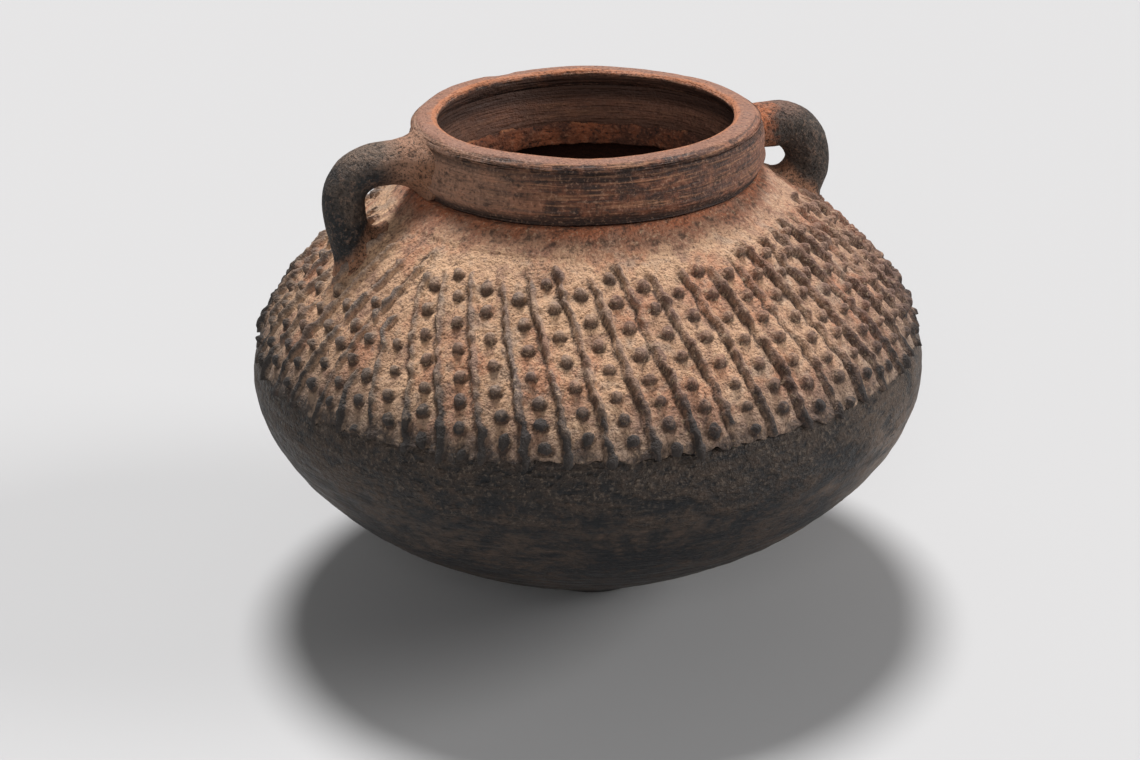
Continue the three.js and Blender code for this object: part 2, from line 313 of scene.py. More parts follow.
def burnished_clay():
    material, tree, shader, place, side, height = new_clay("burnished_sooty_clay")
    black, brown, rust = (0.011, 0.012, 0.014), (0.042, 0.031, 0.025), (0.080, 0.053, 0.039)
    grey, bottom, girdle = (0.085, 0.070, 0.058), (0.026, 0.016, 0.011), (0.050, 0.037, 0.029)
    brown_dust_and_sheen, dust = (0.165, 0.118, 0.090), (0.170, 0.130, 0.100)
    scraped_black, pore = (0.012, 0.011, 0.010), (0.004, 0.004, 0.004)
    patches = cloud(tree, place, 34 * mm, detail=2, stretch=(1, 1, 2))
    blotches = cloud(tree, place, 10 * mm, detail=4, rough=0.62, stretch=(1, 1, 1.9))
    mottle = cloud(tree, place, 3.6 * mm, rough=0.65, stretch=(1, 1, 1.7))
    scrapes = cloud(tree, place, 7 * mm, stretch=(0.30, 0.30, 4))
    grain = cloud(tree, place, 1.1 * mm, detail=2)
    belt = span(tree, drifted(tree, height, blotches, 26 * mm), 82 * mm, 95 * mm)
    colour = cover(
        tree,
        black,
        (plus(tree, patches, blotches), 0.90, 1.12, 1, brown),
        # Brown dust on the right side of the body, made lighter there as a painted sheen.
        (drifted(tree, side, patches, 110 * mm), 88 * mm, 128 * mm, 0.8, brown_dust_and_sheen),
        # Painted sheen: the far left side of the body turns grey.
        (drifted(tree, side, patches, -60 * mm), -95 * mm, -125 * mm, 0.25, grey),
        (height, 48 * mm, 14 * mm, 0.8, bottom),
        (belt, 0, 1, 0.6, girdle),
        (mottle, 0.53, 0.68, 0.5, rust),
        (mottle, 0.48, 0.36, 0.8, black),
        (blotches, 0.46, 0.34, 0.85, black),
        (scrapes, 0.60, 0.74, 0.4, grey),
        (scrapes, 0.42, 0.30, 0.5, scraped_black),
        (grain, 0.55, 0.68, span(tree, belt, 0, 1, 0.1, 0.5), dust),
        (grain, 0.43, 0.30, 0.5, pore),
    )
    roughness = span(tree, plus(tree, scrapes, mottle), 0.75, 1.25, 0.42, 0.70)
    rough_belt = times(tree, belt, drifted(tree, mottle, grain, 0.6), 1.6)
    relief = plus(tree, rough_belt, scrapes, times(tree, grain, 0.22), blotches)
    finish_clay(tree, shader, colour, roughness, relief, 0.9 * mm, specular=0.22)
    return material


bowl_outline = (
    [spot(0, 0)]
    + bowl_curve
    + between(shoulder_curve[1:], 0, border_height)[::upper_stride]
    + beside(between(shoulder_curve, 0, border_height + scarf_rise), -wall)[::-inner_stride]
    + beside(bowl_curve, -wall)[-1 - floor_stride :: -floor_stride]
    + [spot(0, wall)]
)
bowl = piece(
    "bowl",
    turned(bowl_outline, wall_columns, is_ring=False),
    "sooty_clay",
    burnished_clay(),
    "base_bowl",
)
places = places_of(bowl)
relief = unevenness(places, *bowl_lumps) + unevenness(places * scrape_stretch, bowl_scrapes)
push(bowl, (relief - bowl_shrink) * np.clip(places[:, 2] / flat_fade, 0, 1))


# Shoulder
# The wall that was built up from the bowl and drawn in towards the neck. It shows as the smooth
# wiped band under the neck, and inside. Its clay is the same coarse tan clay as the coat's.
relief_top_height = 132.6 * mm
band_fade = 2 * mm
coat_seat_depth = 1.1 * mm
coat_proud = 0.8 * mm
seam = 0.3 * mm
shoulder_edge = 4.4 * mm
neck_bore_radius = 46.5 * mm
outer_stride = 2
wipe_lumps, wipe_strokes = (4 * mm, 0.16 * mm, 2.2), (9 * mm, 0.2 * mm, 6)
wipe_stretch = np.array([1, 1, 2])
wipe_depth = 0.1 * mm


def rough_clay(name, depth):
    material, tree, shader, place, side, height = new_clay(name)
    sand, tan, brown = (0.600, 0.368, 0.222), (0.450, 0.262, 0.158), (0.240, 0.132, 0.090)
    red, mauve, soot = (0.380, 0.150, 0.080), (0.140, 0.077, 0.060), (0.022, 0.019, 0.018)
    pit, grey, ash = (0.062, 0.031, 0.019), (0.330, 0.245, 0.185), (0.130, 0.098, 0.078)
    band_brown_and_neck_shadow, edge_red = (0.250, 0.105, 0.062), (0.360, 0.110, 0.045)
    grey_skin, earth_and_shade = (0.125, 0.108, 0.098), (0.040, 0.020, 0.013)
    pale_grit, dark_grain = (0.66, 0.46, 0.30), (0.070, 0.040, 0.028)
    inner_brown = (0.125, 0.043, 0.024)
    patches = cloud(tree, place, 26 * mm)
    stains = cloud(tree, place, 8 * mm)
    smears = cloud(tree, place, 15 * mm, stretch=(1, 1, 0.7))
    lumps = cloud(tree, place, 3.2 * mm)
    grit = cloud(tree, place, 1.2 * mm, detail=2)
    grain = cloud(tree, place, 0.7 * mm, detail=1, rough=0.5)
    upward = swayed(tree, height, stains, 9 * mm)
    band = span(tree, upward, 133.5 * mm, 137 * mm)
    crest = swayed(tree, attribute(tree, "crest"), grit, 0.8)
    dirt_and_shade = swayed(tree, attribute(tree, "dirt_and_shade"), grit, 1.2)
    bare = span(tree, patches, 0.36, 0.62, 0.55, 0.85)
    leftward = span(tree, drifted(tree, side, stains, 40 * mm), 10 * mm, -50 * mm)
    skin = blend(tree, leftward, mauve, grey_skin)
    # Soot lies on the coat's lower edge, on the ribs low down and on those below the left handle.
    slanted = drifted(tree, drifted(tree, height, side, 0.025), stains, -26 * mm)
    slanted = drifted(tree, slanted, grit, 8 * mm)
    burnt = span(tree, slanted, 84 * mm, 77 * mm, 0, 0.9)
    burnt_crest = times(tree, span(tree, slanted, 100 * mm, 86 * mm), span(tree, crest, 0.1, 0.5))
    far_left = span(tree, drifted(tree, side, stains, 60 * mm), -42 * mm, -72 * mm, 0, 0.7)
    below = span(tree, height, 122 * mm, 102 * mm)
    burnt_left = times(tree, far_left, below, span(tree, crest, 0, 0.5, 0.4, 1))
    colour = cover(
        tree,
        sand,
        (patches, 0.38, 0.62, 1, tan),
        (side, -30 * mm, 100 * mm, 0.8, brown),
        (smears, 0.50, 0.62, 0.6, red),
        (drifted(tree, height, stains, -24 * mm), 94 * mm, 78 * mm, 0.85, ash),
        (stains, 0.46, 0.34, 0.55, grey),
        (stains, 0.53, 0.66, 0.7, brown),
        # The wiped band's own redder brown, darkened near the neck as a painted shadow of the neck.
        (band, 0, 1, 0.75, band_brown_and_neck_shadow),
        (upward, 137.2 * mm, 139.6 * mm, 0.8, edge_red),
        (lumps, 0.46, 0.34, times(tree, band, 0.75), pit),
        (crest, 0.15, 0.7, bare, skin),
        # Earth in the furrows and moats, with painted shade on the ribs' left flanks and under the
        # nubs.
        (dirt_and_shade, 0.2, 0.85, 0.88, earth_and_shade),
        (grit, 0.56, 0.70, 0.4, pale_grit),
        (lumps, 0.40, 0.26, 0.4, pit),
        (grit, 0.45, 0.31, 0.7, pit),
        (grain, 0.42, 0.30, 0.45, dark_grain),
        (combine(tree, "MAXIMUM", burnt, burnt_crest, burnt_left), 0, 1, 0.93, soot),
        (attribute(tree, "inside"), 0, 1, 1, inner_brown),
    )
    roughness = span(tree, grit, 0.3, 0.7, 0.82, 0.98)
    relief = plus(tree, lumps, times(tree, grit, 0.42), times(tree, grain, 0.3))
    finish_clay(tree, shader, colour, roughness, relief, depth)
    return material


def band_at(height):
    """1 on the wiped band above the coat and 0 where the coat lies."""
    return step(relief_top_height, relief_top_height + band_fade, height)


def seat_depth(height):
    return -coat_seat_depth * (1 - band_at(height))


shoulder_line = between(shoulder_curve, border_height, neck_base_height)[::outer_stride]
shoulder_inside = beside(between(shoulder_curve, border_height + scarf_rise, 1), -wall)
shoulder_outline = (
    beside(shoulder_line, seat_depth)
    + [
        spot(neck_bore_radius, neck_base_height),
        spot(neck_bore_radius, neck_base_height - shoulder_edge),
    ]
    + shoulder_inside[::-inner_stride]
)
shoulder = piece(
    "shoulder_wall",
    turned(shoulder_outline, wall_columns),
    "tan_clay",
    rough_clay("wiped_tan_clay", depth=1.2 * mm),
    "shoulder",
)
places = places_of(shoulder)
curve_heights = [point.z for point in shoulder_curve]
curve_radii = [point.x for point in shoulder_curve]
outer_radius = np.interp(places[:, 2], curve_heights, curve_radii)
is_inside = (np.hypot(places[:, 0], places[:, 1]) < outer_radius - wall / 2).astype(float)
wiped = unevenness(places, wipe_lumps) + unevenness(places * wipe_stretch, wipe_strokes)
push(shoulder, (wiped - wipe_depth) * band_at(places[:, 2]) * (1 - is_inside))
paint(shoulder, "inside", is_inside)


# Rough coat with ribs and nubs
# A skin of coarse clay laid over the shoulder. Ribs were drawn or laid down it at a slant, and a
# pellet of clay pressed on at each step between them, all by hand and so none of them alike.
coat_rows, coat_columns = 96, 920
coat_over_top = 1.8 * mm
coat_top_sink, sink_start, sink_end = 0.45 * mm, 0.97, 1.03
coat_back_stride = 24
coat_margin = 0.2 * mm
rib_count = 54
rib_half_width, rib_height = 1.25 * mm, 1.9 * mm
rib_stray = 0.45 * mm
rib_sways = (10 * mm, 0.8 * mm, 5.5), (3.5 * mm, 0.6 * mm, 8.5), (1.7 * mm, 0.65 * mm, 2.5)
rib_ends, rib_end_fade, furrow_end_fade = (0.93, 1.05), 0.08, 0.1
rib_strength, weakest, strongest = 0.88, 0.08, 1.25
bead_size, bead_share, bead_shift = 2.4 * mm, 0.55, 1.37
gap_size, gap_share, gap_shift = 9 * mm, 0.62, 1.73
gap_start = 20
rib_roundness = 0.65
rib_least_width, rib_width_gain, rib_top_width = 0.82, 0.22, 0.4
rib_way_points = 240
furrow_place, furrow_width, far_furrow = 1.7 * mm, 0.55 * mm, 0.4
rib_shade_place, rib_shade_width, rib_shade_share = -1.0 * mm, 0.45 * mm, 0.65
nub_rows = 8
nub_step = 0.618
nub_lowest, nub_highest = 0.03, 0.93
nub_space = 7 * mm
handle_clear, handle_near, handle_far = 0.3, 12, 27
nub_radii, nub_sizes, nub_stretch = (1.65 * mm, 2.1 * mm), (0.95, 1.25), (0.95, 1.2)
nub_aside, nub_along = 0.5 * mm, 0.6 * mm
nub_rag, nub_rag_size, nub_rag_shift = 0.16, 1.8 * mm, 4.8
nub_window = 0.09
nub_shade_place, nub_shade_width, nub_shade_top, nub_shade_foot = 0.95, 0.3, 0.2, -0.7
moat_place, moat_width, moat_top, moat_foot, moat_above = 1.14, 0.24, 0.4, -1.0, 0.45
meeting_turn, meeting_lean = 204, 5.9
lean_places = [0, 20, 40, 66, 90, 224, 286, 340, 360]
lean_degrees = [-16, -15, -12, -8.5, -5.5, -4, 4, 7, 7]
lean_power = 1.6
crowding = 0.06
held_start, held_end = 1, 3
coarse_lumps = (9 * mm, 0.42 * mm, 1.9), (4 * mm, 0.24 * mm, 6.2)
crumb_size, crumb_shift = 1.6 * mm, 3.1
crumb_height, crest_crumb_height = 0.18 * mm, 0.38 * mm
furrow_depth, moat_depth = 0.45 * mm, 0.40 * mm
sunk_crest_limit, dirt_and_shade_crest_limit = 2, 1.5
smoothing, smooth_start, smooth_end = 0.8, 0.96, 1.02
rag_reach, rag_middle, rag_most = 0.16, 1.6 * mm, 5 * mm
rag_lobes = (2, 1.1 * mm, 2.2), (5, 0.6 * mm, 0)
rag_lumps = (7 * mm, 1.7 * mm, 7.7), (2.6 * mm, 1.5 * mm, 5.2)
rag_of_rib, rag_lift = 0.8 * mm, 0.10
coat_clearance = 0.05 * mm
draw_seed = 11
draw = np.random.default_rng(draw_seed)

coat_line = between(shoulder_curve, border_height, relief_top_height + coat_over_top)
line_heights = np.array([point.z for point in coat_line])
line_radii = np.array([point.x for point in coat_line])
relief_points = len(between(shoulder_curve, border_height, relief_top_height))
line_share = np.arange(len(coat_line)) / (relief_points - 1)
line_run = np.concatenate([[0], np.cumsum(np.hypot(np.diff(line_heights), np.diff(line_radii)))])
picked = np.linspace(0, len(coat_line) - 1, coat_rows).round().astype(int)


def coat_out(height):
    share = np.interp(height, line_heights, line_share)
    return coat_proud * (1 - min(share, 1)) - coat_top_sink * step(sink_start, sink_end, share)


coat_surface = beside(coat_line, coat_out)
coat_back = beside(coat_line, seam - coat_seat_depth)[::coat_back_stride]
coat = piece(
    "ribbed_coat",
    turned([coat_surface[i] for i in picked] + list(reversed(coat_back)), coat_columns),
    "tan_clay",
    rough_clay("rough_tan_clay", depth=1.6 * mm),
    "relief_coat",
)

places = places_of(coat)
radius = np.hypot(places[:, 0], places[:, 1])
past = (np.degrees(np.arctan2(places[:, 1], places[:, 0])) - meeting_turn) % 360
behind = np.interp(places[:, 2], line_heights, line_radii) - coat_margin
is_outside = (radius > behind).astype(float)
share = np.interp(places[:, 2], line_heights, line_share)
run = np.interp(places[:, 2], line_heights, line_run)


def line_at(start, share):
    """Degrees past the meeting line of a rib that starts there, and how free of it the rib is."""
    turn = start + np.interp(start, lean_places, lean_degrees) * share**lean_power
    lowest = meeting_lean * share + crowding * start
    highest = 360 + meeting_lean * share - crowding * (360 - start)
    held = np.clip(turn, lowest, highest)
    return held, 1 - step(held_start, held_end, np.abs(turn - held))


def start_of(rib):
    return (rib * 360 / rib_count - meeting_turn) % 360


def apart(first, second):
    return (first - second + 180) % 360 - 180


def hump(value, middle, width, power=2):
    """1 where the value is in the middle, and down to a third of that a width away from it."""
    return np.exp(-(((value - middle) / width) ** power))


def waves(turn, *rounds):
    """Waves round the pot added up, each given by its count, its height and a shift."""
    return sum(np.sin(count * turn + shift) * height for count, height, shift in rounds)


rib_way = np.linspace(0, line_run[-1], rib_way_points)
rib_places = np.stack([rib_way, np.zeros(len(rib_way)), np.zeros(len(rib_way))], 1)


def along_rib(size, shift):
    """Noise that changes along a rib, the same for all places at one distance along it."""
    return np.interp(run, rib_way, uneven(rib_places, size, shift))


# Each rib wavers, swells and thins along its way, and is broken off or worn away in places. The
# furrows beside it hold earth and painted shade, most on its left, and its left flank has painted
# shade.
sway = unevenness(places, *rib_sways)
ribs = np.zeros(len(places))
furrows = np.zeros(len(places))
painted_shade = np.zeros(len(places))
for rib in range(rib_count):
    turn, freedom = line_at(start_of(rib), share)
    stray = draw.uniform(-rib_stray, rib_stray)
    aside = np.radians(apart(past, turn)) * radius + sway + stray
    end = draw.uniform(*rib_ends)
    beads = along_rib(bead_size, rib * bead_shift)
    gaps = along_rib(gap_size, rib * gap_shift + gap_start)
    strength = rib_strength + bead_share * beads + gap_share * gaps
    strength = np.clip(strength, weakest, strongest) * freedom
    strength = strength * (1 - step(end - rib_end_fade, end, share))
    half_width = rib_half_width * (rib_least_width + rib_width_gain * strength)
    half_width = half_width * (rib_top_width + (1 - rib_top_width) * radius / belly_radius)
    rounded = np.clip(1 - (aside / half_width) ** 2, 0, 1) ** rib_roundness
    ribs = np.maximum(ribs, rounded * strength)
    furrow = hump(np.abs(aside), furrow_place, furrow_width) * freedom
    # The furrow on a rib's left is deeper and darker than the one on its right; the darkness is
    # painted shade.
    furrow = furrow * np.where(aside < 0, 1, far_furrow)
    furrows = np.maximum(furrows, furrow * (1 - step(end - furrow_end_fade, end, share)))
    # Painted shade: the rib's left flank is darkened.
    flank = hump(aside, rib_shade_place, rib_shade_width) * strength
    painted_shade = np.maximum(painted_shade, flank * rib_shade_share)

# The nubs stand in columns between the ribs, wherever there is space between the two. Each has a
# moat round it where it was pressed in, darkened by earth and by painted shade below the nub, and
# painted shade on its lower side.
nubs = np.zeros(len(places))
moats = np.zeros(len(places))
ragged = uneven(places, nub_rag_size, nub_rag_shift)
for band in range(rib_count):
    for row in range(nub_rows):
        nub_share = nub_lowest + (row + (band * nub_step) % 1) / nub_rows
        before = line_at(start_of(band), nub_share)[0]
        space = (line_at(start_of(band + 1), nub_share)[0] - before) % 360
        nub_ring = np.interp(nub_share, line_share, line_radii)
        from_handle = abs(apart(2 * (before + meeting_turn), 0)) / 2
        highest = nub_highest - handle_clear * (1 - step(handle_near, handle_far, from_handle))
        if nub_share > highest or math.radians(space) * nub_ring < nub_space:
            continue
        nub_radius = draw.uniform(*nub_radii)
        nub_size = draw.uniform(*nub_sizes)
        near = np.nonzero(np.abs(share - nub_share) < nub_window)[0]
        aside = np.radians(apart(past[near], before + space / 2)) * radius[near]
        aside = aside + draw.uniform(-nub_aside, nub_aside)
        along = run[near] - np.interp(nub_share, line_share, line_run)
        along = (along + draw.uniform(-nub_along, nub_along)) * draw.uniform(*nub_stretch)
        reach = np.hypot(aside, along) / nub_radius * (1 + nub_rag * ragged[near])
        upward = along / nub_radius
        nubs[near] = np.maximum(nubs[near], np.clip(1 - reach**2, 0, 1) ** 0.5 * nub_size)
        # Painted shade: the nub's lower side is darkened.
        flank = hump(reach, nub_shade_place, nub_shade_width)
        flank = flank * step(nub_shade_top, nub_shade_foot, upward)
        painted_shade[near] = np.maximum(painted_shade[near], flank)
        # The moat is deeper and darker below the nub than above it; the darkness is partly painted
        # shade.
        moat = moat_above + (1 - moat_above) * step(moat_top, moat_foot, upward)
        moat = moat * hump(reach, moat_place, moat_width)
        moats[near] = np.maximum(moats[near], moat)

crest = np.maximum(ribs, nubs)
crumb_heights = crumb_height + crest_crumb_height * crest
relief = crest * rib_height + unevenness(places, *coarse_lumps)
relief = relief + uneven(places, crumb_size, crumb_shift) * crumb_heights
sunk = furrow_depth * furrows + moat_depth * moats
relief = relief - sunk * (1 - np.clip(crest * sunk_crest_limit, 0, 1))
relief = relief * (1 - smoothing * step(smooth_start, smooth_end, share))
push(coat, relief * is_outside)
paint(coat, "crest", np.clip(crest, 0, 1) * is_outside)
# Earth in the furrows and moats, partly painted shade, joined with the painted shade on flanks and
# under nubs.
earth_and_shade = np.maximum(furrows, moats) * (1 - np.clip(crest * dirt_and_shade_crest_limit, 0, 1))
paint(coat, "dirt_and_shade", np.maximum(earth_and_shade, painted_shade) * is_outside)

# The lower edge of the coat hangs in ragged lobes over the burnished clay.
rag = rag_middle + waves(np.radians(past), *rag_lobes) + rag_of_rib * ribs
rag = np.clip(rag + unevenness(places, *rag_lumps), 0, rag_most)
rag = rag * np.clip(1 - share / rag_reach, 0, 1)
places = places_of(coat)
places[:, 2] -= rag
places[:, :2] *= (1 + rag * rag_lift / belly_radius)[:, None]
reach = np.hypot(places[:, 0], places[:, 1])
places[:, :2] *= np.minimum(1, (belly_radius - coat_clearance) / reach)[:, None]
put(coat, places)


# Girth coil
# A soft coil of red-brown clay, pressed over the joint of bowl and shoulder from inside and
# thumbed down so that it locks the two.
girth_low, girth_high = border_height + 1 * mm, border_height + 11 * mm
girth_stride, girth_columns = 4, 240
girth_thickness = 2.4 * mm
girth_back = 0.2 * mm
girth_lumps = (8 * mm, 0.25 * mm, 0.7)


def girth_depth(height):
    share = np.clip((height - girth_low) / (girth_high - girth_low), 0, 1)
    return -wall - seam - girth_thickness * math.sin(math.pi * share)


def inner_clay():
    material, tree, shader, place, _, height = new_clay("inner_red_brown_clay")
    dark, red, dust = (0.100, 0.034, 0.018), (0.300, 0.088, 0.035), (0.330, 0.150, 0.085)
    torn_orange, torn_brown = (0.48, 0.19, 0.085), (0.110, 0.060, 0.042)
    pore = (0.020, 0.009, 0.006)
    patches = cloud(tree, place, 12 * mm)
    grit = cloud(tree, place, 1.2 * mm, detail=2)
    scratches = cloud(tree, place, 1.6 * mm, detail=2, rough=0.5, stretch=(0.1, 0.1, 1))
    torn = swayed(tree, height, patches, 3 * mm)
    colour = cover(
        tree,
        dark,
        (patches, 0.42, 0.60, 1, red),
        (torn, 141.6 * mm, 142.3 * mm, 0.85, torn_orange),
        (torn, 142.3 * mm, 142.9 * mm, 0.9, torn_brown),
        (grit, 0.55, 0.68, 0.6, dust),
        (grit, 0.46, 0.34, 0.75, pore),
    )
    roughness = span(tree, grit, 0.3, 0.7, 0.8, 0.95)
    finish_clay(tree, shader, colour, roughness, plus(tree, grit, scratches), 0.8 * mm)
    return material


girth_line = between(shoulder_curve, girth_low, girth_high)[::girth_stride]
girth_outline = beside(girth_line, -wall - girth_back) + beside(girth_line, girth_depth)[::-1]
inner_material = inner_clay()
girth = piece(
    "girth_coil",
    turned(girth_outline, girth_columns),
    "inner_clay",
    inner_material,
    "girth_lute",
)
push(girth, unevenness(places_of(girth), girth_lumps))


# Neck collar
# The short upright neck, turned while the clay was soft, so that fine level lines run round it.
# It swells a little between the crease at its foot and the lip.
rim_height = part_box("rim_lip")[1].z
lip_foot = 154.15 * mm
neck_foot_drop = 0.1 * mm
neck_bulge, neck_bulge_start = 1.2 * mm, 0.15
neck_rows, neck_inner_stride = 64, 2
neck_shift = np.array([1.1 * mm, -0.3 * mm, 0])
hollow_depth = 1.2 * mm
hollow_low, hollow_high = 143 * mm, 151 * mm
crease_depth, crease_top, crease_foot = 1.7 * mm, 4.8 * mm, 0.6 * mm
ridge_height, ridge_place, ridge_width = 0.4 * mm, 5.3 * mm, 0.6 * mm
wheel_stretch = np.array([0.04, 0.04, 1])
wheel_lines = (1.7 * mm, 0.14 * mm, 2.7), (5 * mm, 0.10 * mm, 4.7)
wheel_lumps = (15 * mm, 0.22 * mm, 5.1), (3 * mm, 0.08 * mm, 9)


def neck_radius_at(height):
    share = (height - neck_base_height) / (rim_height - neck_base_height)
    return neck_base_radius + neck_bulge * math.sin(math.pi * min(1, neck_bulge_start + share))


def wheel_clay(name):
    material, tree, shader, place, side, height = new_clay(name)
    dark, red, worn = (0.050, 0.019, 0.011), (0.160, 0.055, 0.026), (0.250, 0.118, 0.076)
    pale, black, orange = (0.400, 0.200, 0.110), (0.016, 0.008, 0.006), (0.430, 0.150, 0.060)
    pink_brown, sand, bloom = (0.290, 0.132, 0.086), (0.360, 0.195, 0.125), (0.36, 0.16, 0.09)
    crease_shade, pale_grit = (0.022, 0.010, 0.007), (0.480, 0.280, 0.180)
    inner_brown, hollow_shade = (0.170, 0.072, 0.042), (0.045, 0.017, 0.009)
    patches = cloud(tree, place, 20 * mm)
    blots = cloud(tree, place, 5 * mm, rough=0.65)
    mottle = cloud(tree, place, 2.4 * mm, detail=4, rough=0.7, stretch=(0.5, 0.5, 1))
    lines = cloud(tree, place, 0.8 * mm, detail=2, stretch=(0.05, 0.05, 1))
    wide_lines = cloud(tree, place, 3.2 * mm, detail=2, rough=0.5, stretch=(0.06, 0.06, 1))
    grit = cloud(tree, place, 1.0 * mm, detail=2)
    left = span(tree, drifted(tree, side, blots, -16 * mm), -34 * mm, -58 * mm)
    upward = drifted(tree, height, blots, 2 * mm)
    inside = attribute(tree, "inside")
    colour = cover(
        tree,
        dark,
        (plus(tree, patches, blots), 0.9, 1.12, 1, red),
        (side, 5 * mm, 58 * mm, 0.8, pink_brown),
        (left, 0, 1, 0.85, sand),
        (lines, 0.54, 0.66, span(tree, left, 0, 1, 0.6, 0.18), pale),
        (lines, 0.46, 0.34, span(tree, left, 0, 1, 0.7, 0.21), black),
        (wide_lines, 0.44, 0.34, 0.3, black),
        (mottle, 0.46, 0.35, 0.7, black),
        (blots, 0.56, 0.70, 0.35, bloom),
        # Painted shade in the crease at the neck's foot.
        (upward, 145.2 * mm, 143.2 * mm, 0.85, crease_shade),
        # Painted shade in the groove under the lip's rounded top.
        (attribute(tree, "shaded_groove"), 0, 1, 0.75, black),
        (swayed(tree, attribute(tree, "worn"), blots, 0.9), 0.3, 0.75, 0.9, worn),
        (swayed(tree, attribute(tree, "edge"), blots, 1.3), 0.35, 0.8, 0.7, orange),
        (grit, 0.56, 0.70, 0.4, pale_grit),
        (grit, 0.44, 0.32, 0.6, black),
        (inside, 0, 1, 0.6, inner_brown),
        # Painted shade in the hollow inside, under the lip.
        (upward, 149.6 * mm, 152.2 * mm, times(tree, inside, 0.88), hollow_shade),
    )
    roughness = span(tree, lines, 0.35, 0.65, 0.62, 0.88)
    relief = plus(tree, lines, times(tree, wide_lines, 0.9), mottle, times(tree, grit, 0.5))
    finish_clay(tree, shader, colour, roughness, relief, 1.1 * mm)
    return material


def wheel_marks(places):
    """How far the turned surface of collar and lip stands out of its even form."""
    return unevenness(places * wheel_stretch, *wheel_lines) + unevenness(places, *wheel_lumps)


neck_heights = np.linspace(neck_base_height - neck_foot_drop, lip_foot, neck_rows)
neck_outside = [spot(neck_radius_at(height), height) for height in neck_heights]
neck_inside = [
    spot(neck_bore_radius + hollow_depth * step(hollow_low, hollow_high, height), height)
    for height in neck_heights[::neck_inner_stride]
]
collar = piece(
    "collar",
    turned(neck_outside + neck_inside[::-1], wall_columns),
    "red_brown_clay",
    wheel_clay("turned_red_brown_clay"),
    "neck_collar",
)
places = places_of(collar)
is_inside = (np.hypot(places[:, 0], places[:, 1]) < neck_bore_radius + wall / 2).astype(float)
above = places[:, 2] - neck_base_height
crease = crease_depth * step(crease_top, crease_foot, above)
ridge = ridge_height * hump(above, ridge_place, ridge_width)
push(collar, wheel_marks(places) - (crease - ridge) * (1 - is_inside))
put(collar, places_of(collar) + neck_shift)
paint(collar, "inside", is_inside)


# Rim lip
# A thicker coil rounded over the top of the collar and wiped with wet fingers. Its inner edge is
# worn, it waves a little, and an old chip is missing from its outer edge at the back.
mouth_radius = 45.9 * mm
outer_round, inner_round = 3.6 * mm, 2.2 * mm
outer_arc, inner_arc, arc_steps = (0, 80), (90, 180), 12
lip_columns = 480
lip_top = rim_height - 0.15 * mm
lip_lean, lip_side = 0.7 * mm, 4 * mm
lip_inner_step, lip_inner_rise = 1.0 * mm, 2.4 * mm
lip_shrink = 0.35 * mm
groove_place, groove_width, groove_depth = 0.26, 0.13, 0.5 * mm
lip_drop, lip_tilt, lip_back_drop, lip_back = 0.95 * mm, 1.5 * mm, 0.55 * mm, 50 * mm
lip_waves = (3, 0.2 * mm, 0.6), (7, 0.12 * mm, 2)
chip_turn, chip_width, chip_depth = 102, 5, 1.3 * mm
chip_inner, chip_outer = 50 * mm, 53.5 * mm
inside_reach, inside_fade_start, inside_fade_end = 1.4 * mm, 0.35, 0.8
worn_start, worn_end = 0.84, 0.96
edge_place, edge_width, edge_start, edge_end = 1 * mm, 1.3 * mm, 0.45, 0.85


def arc(centre, start, end, radius):
    turns = np.radians(np.linspace(start, end, arc_steps))
    return [centre + spot(math.cos(turn), math.sin(turn)) * radius for turn in turns]


lip_outer_radius = neck_radius_at(lip_foot)
lip_flank = [
    spot(lip_outer_radius - share * lip_lean, lip_foot + share * lip_side) for share in (0, 0.5, 1)
]
outer_centre = spot(lip_outer_radius - lip_lean - outer_round, lip_top - outer_round)
inner_centre = spot(mouth_radius + inner_round, lip_top - inner_round)
lip_outline = (
    lip_flank
    + arc(outer_centre, *outer_arc, outer_round)
    + arc(inner_centre, *inner_arc, inner_round)
    + [
        spot(mouth_radius + lip_inner_step, lip_foot + lip_inner_rise),
        spot(neck_bore_radius + hollow_depth, lip_foot),
    ]
)
lip = piece(
    "lip",
    turned(lip_outline, lip_columns),
    "lip_clay",
    wheel_clay("worn_pink_brown_clay"),
    "rim_lip",
)
places = places_of(lip)
radius = np.hypot(places[:, 0], places[:, 1])
turn = np.arctan2(places[:, 1], places[:, 0])
up = np.clip((places[:, 2] - lip_foot) / (lip_top - lip_foot), 0, 1)
is_outside = (radius > (mouth_radius + lip_outer_radius) / 2).astype(float)
# The groove under the lip is cut in and also painted dark, as shade.
shaded_groove = hump(up, groove_place, groove_width) * is_outside
push(lip, wheel_marks(places) - up * lip_shrink - shaded_groove * groove_depth)
tilt = lip_tilt * places[:, 0] / belly_radius - lip_back_drop * step(0, lip_back, places[:, 1])
chip = hump(np.degrees(turn), chip_turn, chip_width, 4) * step(chip_inner, chip_outer, radius)
places = places_of(lip)
places[:, 2] -= up * (lip_drop + tilt + waves(turn, *lip_waves) + chip_depth * chip)
put(lip, places + neck_shift)
inside = (radius < mouth_radius + inside_reach) * (1 - step(inside_fade_start, inside_fade_end, up))
paint(lip, "inside", inside)
paint(lip, "shaded_groove", shaded_groove)
paint(lip, "worn", step(worn_start, worn_end, up))
inner_edge = hump(radius, mouth_radius + edge_place, edge_width)
paint(lip, "edge", inner_edge * step(edge_start, edge_end, up))


